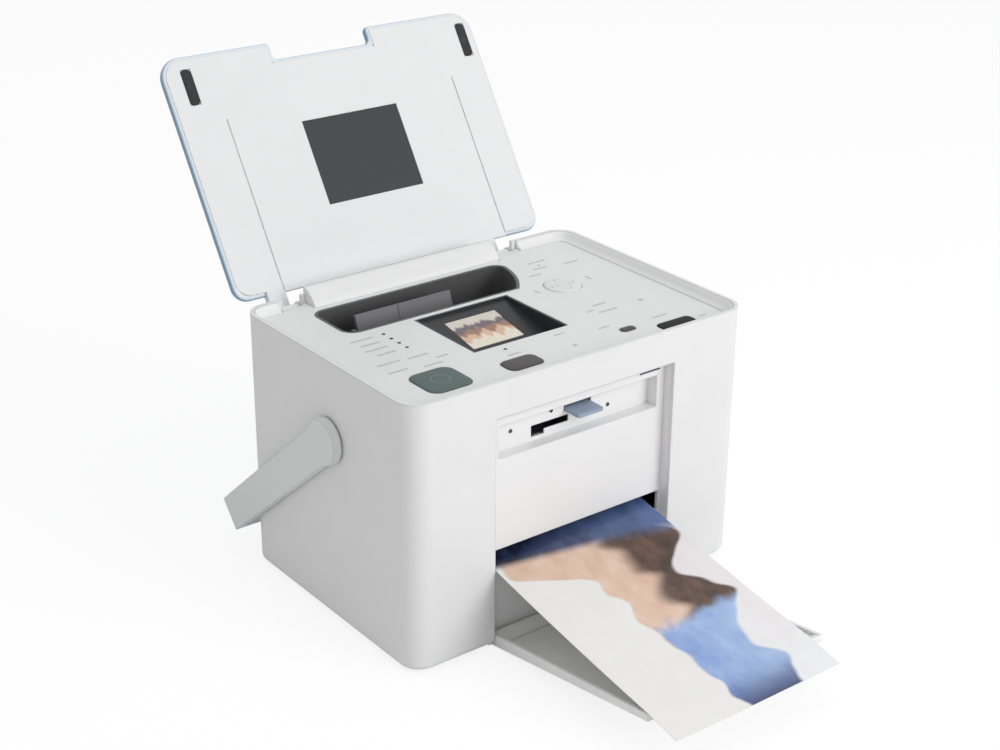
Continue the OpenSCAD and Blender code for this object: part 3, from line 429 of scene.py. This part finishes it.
PRINT_KEY = (-68, -47.5)
PAD_X, PAD_Y = 53.1, 12
key_green = moulded("key_green", (0.085, 0.125, 0.12), rough=0.5, specular_ior_level=0.3,
                    paint=ringed(PRINT_KEY, 4.6, 1.0, (0.125, 0.17, 0.165)))
key_grey = moulded("key_grey", (0.075, 0.069, 0.069), rough=0.5, specular_ior_level=0.25)
key_black = moulded("key_black", (0.026, 0.026, 0.028), rough=0.5, relief=0.1,
                    specular_ior_level=0.06)
pad_white = moulded("pad_white", (0.745, 0.755, 0.75), rough=0.4, relief=0.05)
key_cap("print_button", PRINT_KEY, (24.5, 24), 6, key_green)
key_cap("display_button", (-25.5, -54), (20.5, 12.4), 4.2, key_grey)
key_cap("menu_button", (41.7, -52.4), (9, 5), 2.4, key_grey)
key_cap("power_button", (66.3, -61), (22, 8.4), 3.2, key_black)
key_cap("navigation_pad", (PAD_X, PAD_Y), (20, 20), 9.9, pad_white, pad_crown)

# One small dash lies at each side of the pad, 6.9 mm from its middle.
pad_marks = np.array([[PAD_X + 6.9, PAD_Y, 2.2, 0.9, 90], [PAD_X - 6.9, PAD_Y, 2.2, 0.9, 90],
                      [PAD_X, PAD_Y + 6.9, 2.2, 0.9, 0], [PAD_X, PAD_Y - 6.9, 2.2, 0.9, 0]])
arrows = skin("pad_arrows", printed(pad_marks, PANEL_TOP + 0.6, PANEL_TOP + 0.82), mark_ink)
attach(arrows, "navigation_pad")

# ---- Screen ----
# A black ABS frame whose floor falls towards the front, snapped in under the panel. It holds a
# lit colour panel behind a clear sheet, which shows a plain view of dunes at dusk.

frame_dark = moulded("frame_dark", (0.036, 0.038, 0.042), rough=0.34, relief=0.02,
                     specular_ior_level=0.2)
dress(frame_dark, "lcd_frame")
SCREEN_LEFT, SCREEN_FRONT = -23, -13.8
SCREEN_WIDTH, SCREEN_DEPTH = 31.4, 25.4


def dunes(wire):
    """Bands of colour, the furthest first, each painted over the last up to an edge that rises and
    falls with noise along the screen's width."""
    x = wire.node("SeparateXYZ", {0: wire.node("TexCoord", output="Object")}, output="X")
    y = wire.node("SeparateXYZ", {0: wire.node("TexCoord", output="Object")}, output="Y")
    across = (x - SCREEN_LEFT * MM) * (1 / (SCREEN_WIDTH * MM))
    height = (y - SCREEN_FRONT * MM) * (1 / (SCREEN_DEPTH * MM))
    picture = height.step(0.1, 1).between((0.58, 0.52, 0.44), (0.64, 0.58, 0.52))
    for base, swing, seed, colour in [(0.78, 0.36, 7.3, (0.13, 0.10, 0.12)),
                                      (0.62, 0.35, 2.1, (0.30, 0.16, 0.10)),
                                      (0.48, 0.30, 4.4, (0.66, 0.44, 0.30)),
                                      (0.32, 0.40, 9.2, (0.78, 0.72, 0.60))]:
        wave = wire.node("TexNoise", {"W": across * 2.6 + seed, "Scale": 2.4, "Detail": 1},
                         noise_dimensions="1D")
        edge = (wave - 0.5) * swing + base
        picture = (1 - (height - edge).step(-0.05, 0.05)).between(picture, colour)
    return picture


screen_lit, screen_wire, feed_screen = new_finish("screen_lit", emission_strength=0.45)
dune_picture = dunes(screen_wire)
pane = screen_wire.node("TexNoise", {"Vector": screen_wire.node("TexCoord", output="Object"),
                                     "Scale": 300, "Detail": 2})
feed_screen(base_color=(pane * 0.2 + 0.4).between((0.02, 0.02, 0.02), dune_picture),
            emission_color=dune_picture, roughness=0.18 + pane * 0.06)
dress(screen_lit, "lcd_screen")

# ---- Paper feed ----
# The throat of the feed slot is one black polystyrene moulding under the panel, and the edge
# guide slides on a rail of its front wall. The sheets lean on a plate of grey ABS.

throat_black = moulded("throat_black", (0.10, 0.10, 0.103), rough=0.5, relief=0.25,
                       specular_ior_level=0.35)
dress(throat_black, "slot_liner", "edge_guide")
plate_grey = moulded("plate_grey", (0.17, 0.17, 0.18), rough=0.5, relief=0.2,
                     specular_ior_level=0.3)
dress(plate_grey, "hopper_plate")

# ---- Works inside ----
# Green circuit boards, a frame of zinc-plated sheet steel, motors, steel shafts, acetal gears
# and rollers with rubber sleeves, all screwed or pressed together on the base plate. Only
# glimpses of them show through the slots and the openings.

board_green = moulded("board_green", (0.012, 0.10, 0.05), rough=0.3, relief=0.4, grain=1.2)
dress(board_green, "panel_board", "main_board")
dress(zinc, "chassis", "card_reader", "usb_port", "feed_motor", "carriage_motor", "star_wheels",
      "guide_shaft", "hinge_pins")
acetal = moulded("acetal", (0.62, 0.60, 0.52), rough=0.35, relief=0.08)
dress(acetal, "main_gear", "pickup_gear", "pickup_idler", "exit_gear", "exit_idler",
      "roller_bushes", "idler_pulley")
brass = metal("brass", (0.72, 0.52, 0.22), rough=0.28)
dress(brass, "motor_pinion", "drive_pulley")
roller_rubber = rubber("roller_rubber", (0.035, 0.035, 0.037))
dress(roller_rubber, "main_roller", "exit_roller", "pickup_roller", "pinch_rollers")
works_black = moulded("works_black", (0.03, 0.03, 0.032), rough=0.45, relief=0.25)
dress(works_black, "power_inlet", "carriage", "platen", "belt", "ink_cartridge")
dress(plate_grey, "cartridge_bay", "capping_station", "print_head")

# ---- Cartridge door ----
# A small white ABS flap in the rear wall, of the casing's own colour and grain, moulded with a
# finger scoop. It turns on two steel pins at its lower edge.

dress(casing_white, "cartridge_door")

# ---- Lid ----
# Two white shells clipped together. The outer one is a low dome, tinted blue, which shows as a
# line round the white inner one, and a dark window fills the hole in both. The inner shell's two
# arms turn on steel pins at the lid's lower edge.

LID_BASE = 137.1                                # underside of the lid, when it is shut
LID_SIDE, LID_FRONT, LID_REAR = 97.6, -68.9, 61.7
NOTCH_X, NOTCH_FOOT = -1.45, -59.4
WINDOW_X, WINDOW_Y = 2, -0.35
LID_HINGE = np.array([0, 74.1, 131])
LID_OPEN = math.radians(-123)


def lid_ring(inset, front=LID_FRONT, wall=30.05, corner=12, notch=(2.5, 3), rear=8):
    """The lid's outline moved inwards: a round-cornered rectangle with a notch for the fingers in
    its front edge, whose walls stand a distance from its middle. The notch has a radius at its
    mouth, which never falls under 1, and another at its foot."""
    left, right = NOTCH_X - wall, NOTCH_X + wall
    line = [(-LID_SIDE, front), (left, front), (left, NOTCH_FOOT), (right, NOTCH_FOOT),
            (right, front), (LID_SIDE, front), (LID_SIDE, LID_REAR), (-LID_SIDE, LID_REAR)]
    mouth = max(notch[0], inset + 1)
    return outline(line, [corner, mouth, notch[1], notch[1], mouth, corner, rear, rear], inset)


def hole_ring(width, depth, radius, near, far):
    """A round-cornered rectangle about the window, with as many points as the lid's outline: those
    of the notch are spread over its front edge, from near to far from the middle on both sides."""
    ring = outline(rectangle(width, depth, (WINDOW_X, WINDOW_Y)), radius)
    half = 2 * CORNER_POINTS
    spread = np.concatenate((-np.linspace(far, near, half), np.linspace(near, far, half)))
    front = np.column_stack((WINDOW_X + spread, np.full(2 * half, WINDOW_Y - depth / 2)))
    return np.vstack((ring[:CORNER_POINTS], front, ring[CORNER_POINTS:]))


def opened(points):
    """Points of the shut lid turned 123 degrees back about the hinge line, which runs along x."""
    x, y, z = np.moveaxis(np.asarray(points, float) - LID_HINGE, -1, 0)
    cos, sin = math.cos(LID_OPEN), math.sin(LID_OPEN)
    return LID_HINGE + np.stack((x, y * cos - z * sin, y * sin + z * cos), axis=-1)


# The cover's section starts at the lip round the inner shell and climbs over the blue edge: each
# ring has its inset, its height over the base and its tint. The lip rises towards the hinge.
cover_section = [(3.6, 0.3, 0), (1.2, 0.4, 0), (0.6, 0.65, 0.3), (0.25, 1.05, 0.9), (0.02, 1.8, 1),
                 (-0.06, 2.6, 1), (0.1, 3.6, 1), (0.6, 4.6, 1), (1.5, 5.4, 1), (3.2, 6.2, 1),
                 (5.5, 6.8, 1)]
cover_rows, tints = [], []
for inset, height, tint in cover_section:
    ring = lid_ring(inset)
    lip = 1.5 * np.clip((ring[:, 1] - 55) / 6, 0, 1) * max(0, 1 - height / 3)
    cover_rows.append(at_height(ring, LID_BASE + height + lip))
    tints.append(tint)

# It goes on to the crown, where the notch fades out, and to the window's hole, and comes back
# underneath: each ring lies at a share of its way to the hole, and at its height over the base.
crown_ring = lid_ring(12, front=-62.4, wall=24.05, corner=20, notch=(13.5, -10.6), rear=18)
inner_ring = hole_ring(150, 74, 6, near=43, far=60)
hole = hole_ring(56, 42.5, 1.5, near=12, far=25)
for ring, share, height in [(crown_ring, 0, 7.5), (inner_ring, 0, 7.9), (inner_ring, 0.5, 8.0),
                            (inner_ring, 0.95, 8.0), (hole, 0, 7.9), (hole, 0, 6.2),
                            (inner_ring, 0.5, 6.2), (inner_ring, 0, 6.1), (crown_ring, 0, 5.7),
                            (lid_ring(5.5), 0, 5.0), (lid_ring(3.4), 0, 4.2),
                            (lid_ring(2), 0, 2.4)]:
    cover_rows.append(at_height(ring + (hole - ring) * share, LID_BASE + height))
    tints.append(height > 5)


def tinted(body):
    """White on the lip, blue over the edge and the crown, as the tint stored on each ring says."""
    tint = body.node("Attribute", output="Fac", attribute_name="tint")
    return tint.between((0.72, 0.78, 0.84), body)


lid_blue = moulded("lid_blue", (0.19, 0.34, 0.50), rough=0.3, relief=0.03, coat_weight=0.2,
                   paint=tinted)
cover = skin("lid_dome", [opened(cover_rows)], lid_blue, joined=True)
ring_tints = np.repeat(np.array(tints, np.float32), len(cover_rows[0]))
cover.data.attributes.new("tint", "FLOAT", "POINT").data.foreach_set("value", ring_tints)
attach(cover, "lid")
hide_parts("lid_cover")

lid_white = moulded("lid_white", (0.77, 0.775, 0.78), rough=0.5, grain=0.4)
dress(lid_white, "lid_panel")
window_dark = moulded("window_dark", (0.045, 0.046, 0.048), rough=0.5, relief=0.0, soft=0.3,
                      specular_ior_level=0.25)
dress(window_dark, "lid_window")

# Two rubber bars glued near the free edge keep the lid off the casing's rim. Their ends are round.
BAR_XS, BAR_Y = (-84, 89.3), -52.05
bar_section = [(0, 0.6), (0, 0.1), (0.15, -0.15), (0.7, -0.3), (2.2, -0.36)]
bars = [layered(rectangle(6, 19.3, (x, BAR_Y)), 2.4, bar_section, base=LID_BASE) for x in BAR_XS]
lid_bars = skin("lid_bars", [opened(bar) for bar in bars], black_rubber)
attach(lid_bars, "lid")
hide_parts("lid_pads")

# ---- Handle ----
# A flat strap of pale grey ABS, moulded as a wide U. Each arm is held by a pin, whose spigot is
# fast in the arm and whose collar turns in the casing's side wall.

handle_grey = moulded("handle_grey", (0.75, 0.755, 0.76), relief=0.14, soft=1.3)
dress(handle_grey, "handle", "handle_pins")

# ---- Print ----
# A glossy sheet of coated paper, 4 by 6 inches, printed to its edges with a plain landscape. Its
# tail is still in the output slot, and the rest lies down the tray and over its tip.

SHEET_WIDTH, SHEET_LENGTH, SHEET_THICKNESS = 101.6, 152.4, 0.3
SHEET_X, SLOT_Y, SLOT_Z = -3.7, -66.4, 43.5     # the sheet's middle line, and the slot's mouth
IN_SLOT, TO_TIP = 15.4, 117.5                   # along the sheet: up to the slot, and slot to tip
SLOPE = math.radians(10.8)
u, v = np.meshgrid(np.linspace(0, 1, 21), np.linspace(0, 1, 49))
out_of_slot = SHEET_LENGTH * v - IN_SLOT
sag = -1.1 * np.sin(math.pi * np.clip(out_of_slot / TO_TIP, 0, 1))
droop = -0.0012 * np.maximum(out_of_slot - TO_TIP, 0) ** 2
curl = 0.5 * (2 * u - 1) ** 2 * np.clip(out_of_slot / 60, 0, 1)


def sheet_side(lift):
    """The sheet's face at a height over its lower one: width u and length v are laid along the
    slope out of the slot. It sags between the slot and the tray's tip, droops beyond the tip and
    curls up a little at its sides."""
    over = sag + droop + curl + lift
    return np.stack((SHEET_X + SHEET_WIDTH * (u - 0.5),
                     SLOT_Y - out_of_slot * math.cos(SLOPE) - over * math.sin(SLOPE),
                     SLOT_Z - out_of_slot * math.sin(SLOPE) + over * math.cos(SLOPE)), axis=-1)


def landscape(wire):
    """Snow in front, a plain, hills and a pale sky, with a lake on one side and a blue cliff on
    the other, by the slot, whose dark blue is partly painted shade: each is painted over the last,
    up to an edge that follows noise along the picture.
    Returns the picture and the height in it, which is 0 to 1 on the printed face."""
    uv = wire.node("TexCoord", output="UV")
    up = wire.node("SeparateXYZ", {0: uv}, output="X")
    side = wire.node("SeparateXYZ", {0: uv}, output="Y")
    grain = wire.node("TexNoise", {"Vector": uv, "Scale": 9, "Detail": 6, "Roughness": 0.6})

    def ridge(base, swing, scale, seed):
        """An edge about a base height, which swings with noise that a seed sets apart."""
        wave = wire.node("TexNoise", {"W": side * scale + seed, "Scale": 2.2, "Detail": 1,
                                      "Roughness": 0.3}, noise_dimensions="1D")
        return (wave - 0.5) * swing + base

    ripple = grain - 0.5
    plain = (ripple * 1.6 + 0.5).between((0.66, 0.40, 0.28), (0.82, 0.66, 0.55))
    hills = (ripple * 2.2 + 0.5).between((0.016, 0.009, 0.007), (0.17, 0.09, 0.06))
    sky = (ripple + side).between((0.78, 0.70, 0.72), (0.84, 0.85, 0.86))
    water = (ripple * 1.4 + up).between((0.16, 0.27, 0.62), (0.42, 0.56, 0.80))
    water = side.step(0.86, 1.03).between(water, (0.03, 0.045, 0.13))
    # The cliff's dark blue is partly the picture and partly painted shade of the slot's mouth.
    cliff_and_painted_shade = (up * 0.9 + ripple * 1.2).between((0.006, 0.008, 0.028), (0.11, 0.17, 0.36))
    snow = (ripple * 0.8 + 0.5).between((0.78, 0.77, 0.75), (0.86, 0.86, 0.85))

    in_hills = (up - ridge(0.62, 0.5, 3.2, 3.1)).step(-0.06, 0.06)
    bank = 0.60 + ripple * 0.10
    in_lake = (side - bank).step(-0.03, 0.03) * (up - 0.40).step(-0.02, 0.02)
    skyline = ridge(0.88, 0.30, 2.6, 5.5)
    in_sky = (up - skyline + side.step(0.45, 0.7) * 0.08).step(-0.012, 0.02)
    shore = side.step(0.20, 0.34) * 0.30 + side * 0.10 + ripple * 0.04
    in_snow = 1 - (up - shore - ridge(0.03, 0.16, 3.4, 1.9)).step(-0.01, 0.016)
    # The cliff runs along the sheet's tail, where it leaves the slot: there the picture also
    # carries painted shade.
    on_cliff_and_painted_shade = 1 - (side - up * 0.10 - ridge(0.13, 0.05, 5, 6.6)).step(-0.02, 0.03)
    picture = in_hills.between(plain, hills)
    for mask, colour in [(in_lake, water), (in_sky, sky), (in_snow, snow), (on_cliff_and_painted_shade, cliff_and_painted_shade)]:
        picture = mask.between(picture, colour)
    return picture, up


print_gloss, print_wire, feed_print = new_finish("print_gloss", specular_ior_level=0.45)
picture, picture_height = landscape(print_wire)
tooth = print_wire.node("TexNoise", {"Vector": print_wire.node("TexCoord", output="Object"),
                                     "Scale": 900, "Detail": 3})
printed_face = (picture_height + 1).step(0.45, 0.55)
feed_print(base_color=printed_face.between((0.80, 0.80, 0.79), picture),
           roughness=0.3 + (tooth - 0.5) * 0.1,
           normal=print_wire.node("Bump", {"Height": tooth, "Strength": 0.05,
                                           "Distance": 0.03 * MM}))

# Each row goes across the printed face and back under it. On the back u is lowered by 2, which
# tells the material that it is bare paper.
sheet_rows = np.concatenate((sheet_side(SHEET_THICKNESS), sheet_side(0)[:, ::-1]), axis=1)
sheet = skin("print_sheet", [sheet_rows], print_gloss)
face_uv, back_uv = np.dstack((u, v)), np.dstack((u[:, ::-1] - 2, v))
point_uv = np.concatenate((face_uv, back_uv), axis=1).reshape(-1, 2).astype(np.float32)
point_of_corner = np.empty(len(sheet.data.loops), np.int32)
sheet.data.loops.foreach_get("vertex_index", point_of_corner)
sheet_map = sheet.data.uv_layers.new(name="picture")
sheet_map.data.foreach_set("uv", point_uv[point_of_corner].ravel())
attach(sheet, "casing")
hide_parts("photo_print")
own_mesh(sheet)

# ---- Studio ----
# A pale floor, a white surround, three soft square lamps and the camera, in metres. None of it is
# part of the printer. The floor adds a glow of its own where the camera sees it.

FLOOR_WIDTH = 12
floor_mesh = bpy.data.meshes.new("studio_floor")
floor_mesh.from_pydata([(x, y, 0) for x, y in rectangle(FLOOR_WIDTH, FLOOR_WIDTH)], [],
                       [(0, 1, 2, 3)])
floor = bpy.data.objects.new("studio_floor", floor_mesh)
bpy.context.scene.collection.objects.link(floor)
floor_pale = bpy.data.materials.new("floor_pale")
floor_pale.use_nodes = True
floor_wire = Wire(floor_pale.node_tree)
to_camera = floor_wire.node("LightPath", output="Is Camera Ray")
diffuse = floor_wire.node("BsdfDiffuse", {"Color": (0.86, 0.86, 0.86, 1)})
glow = floor_wire.node("Emission", {"Color": (1, 1, 1, 1), "Strength": 1.08})
lit_floor = floor_wire.node("MixShader", {0: to_camera * 0.76, 1: diffuse, 2: glow})
floor_output = floor_pale.node_tree.nodes["Material Output"]
floor_pale.node_tree.links.new(lit_floor.socket, floor_output.inputs["Surface"])
floor_mesh.materials.append(floor_pale)

# The surround is pure white to the camera and in reflections, and lights the printer less.
world = bpy.data.worlds.new("studio")
bpy.context.scene.world = world
world.use_nodes = True
world_wire = Wire(world.node_tree)
to_camera = world_wire.node("LightPath", output="Is Camera Ray")
to_gloss = world_wire.node("LightPath", output="Is Glossy Ray")
surround = world.node_tree.nodes["Background"]
surround.inputs["Color"].default_value = (1, 1, 1, 1)
strength = 0.58 + 0.42 * to_camera.math("MAXIMUM", to_camera, to_gloss)
world.node_tree.links.new(strength.socket, surround.inputs["Strength"])


def lamp(name, place, target, size, power):
    """A square area lamp at place that faces target, in metres and watts."""
    data = bpy.data.lights.new(name, "AREA")
    data.size, data.energy = size, power
    made = bpy.data.objects.new(name, data)
    aim = np.subtract(target, place)
    back = -aim / np.linalg.norm(aim)
    side = np.cross((0, 0, 1), back)
    side /= np.linalg.norm(side)
    turn = Matrix(np.column_stack((side, np.cross(back, side), back)).tolist()).to_4x4()
    made.matrix_world = Matrix.Translation(place) @ turn
    bpy.context.scene.collection.objects.link(made)


lamp("key", place=(0.6, -1.5, 0.8), target=(0, 0, 0.08), size=1.0, power=13.8)
lamp("fill", place=(-1.2, -0.7, 0.8), target=(0, 0, 0.1), size=1.1, power=0.15)
lamp("top", place=(0.1, 0.2, 1.6), target=(0, 0, 0.1), size=1.2, power=3.8)

# The camera looks down on the printer from its front left: yaw from +y, pitch down, then roll.
CAMERA_PLACE, CAMERA_LENS = (-0.514779, -0.67033, 0.483088), 65.8
yaw, pitch, roll = (math.radians(angle) for angle in (37.688, 24.181, 0.517))
ahead = np.array((math.sin(yaw) * math.cos(pitch), math.cos(yaw) * math.cos(pitch),
                  -math.sin(pitch)))
right = np.array((math.cos(yaw), -math.sin(yaw), 0))
upright = np.cross(right, ahead)
rolled_right = right * math.cos(roll) + upright * math.sin(roll)
rolled_up = upright * math.cos(roll) - right * math.sin(roll)
camera = bpy.data.objects.new("camera", bpy.data.cameras.new("camera"))
camera.data.lens = CAMERA_LENS
camera_turn = Matrix(np.column_stack((rolled_right, rolled_up, -ahead)).tolist()).to_4x4()
camera.matrix_world = Matrix.Translation(CAMERA_PLACE) @ camera_turn
bpy.context.scene.collection.objects.link(camera)
bpy.context.scene.camera = camera
bpy.context.scene.view_settings.view_transform = "Standard"
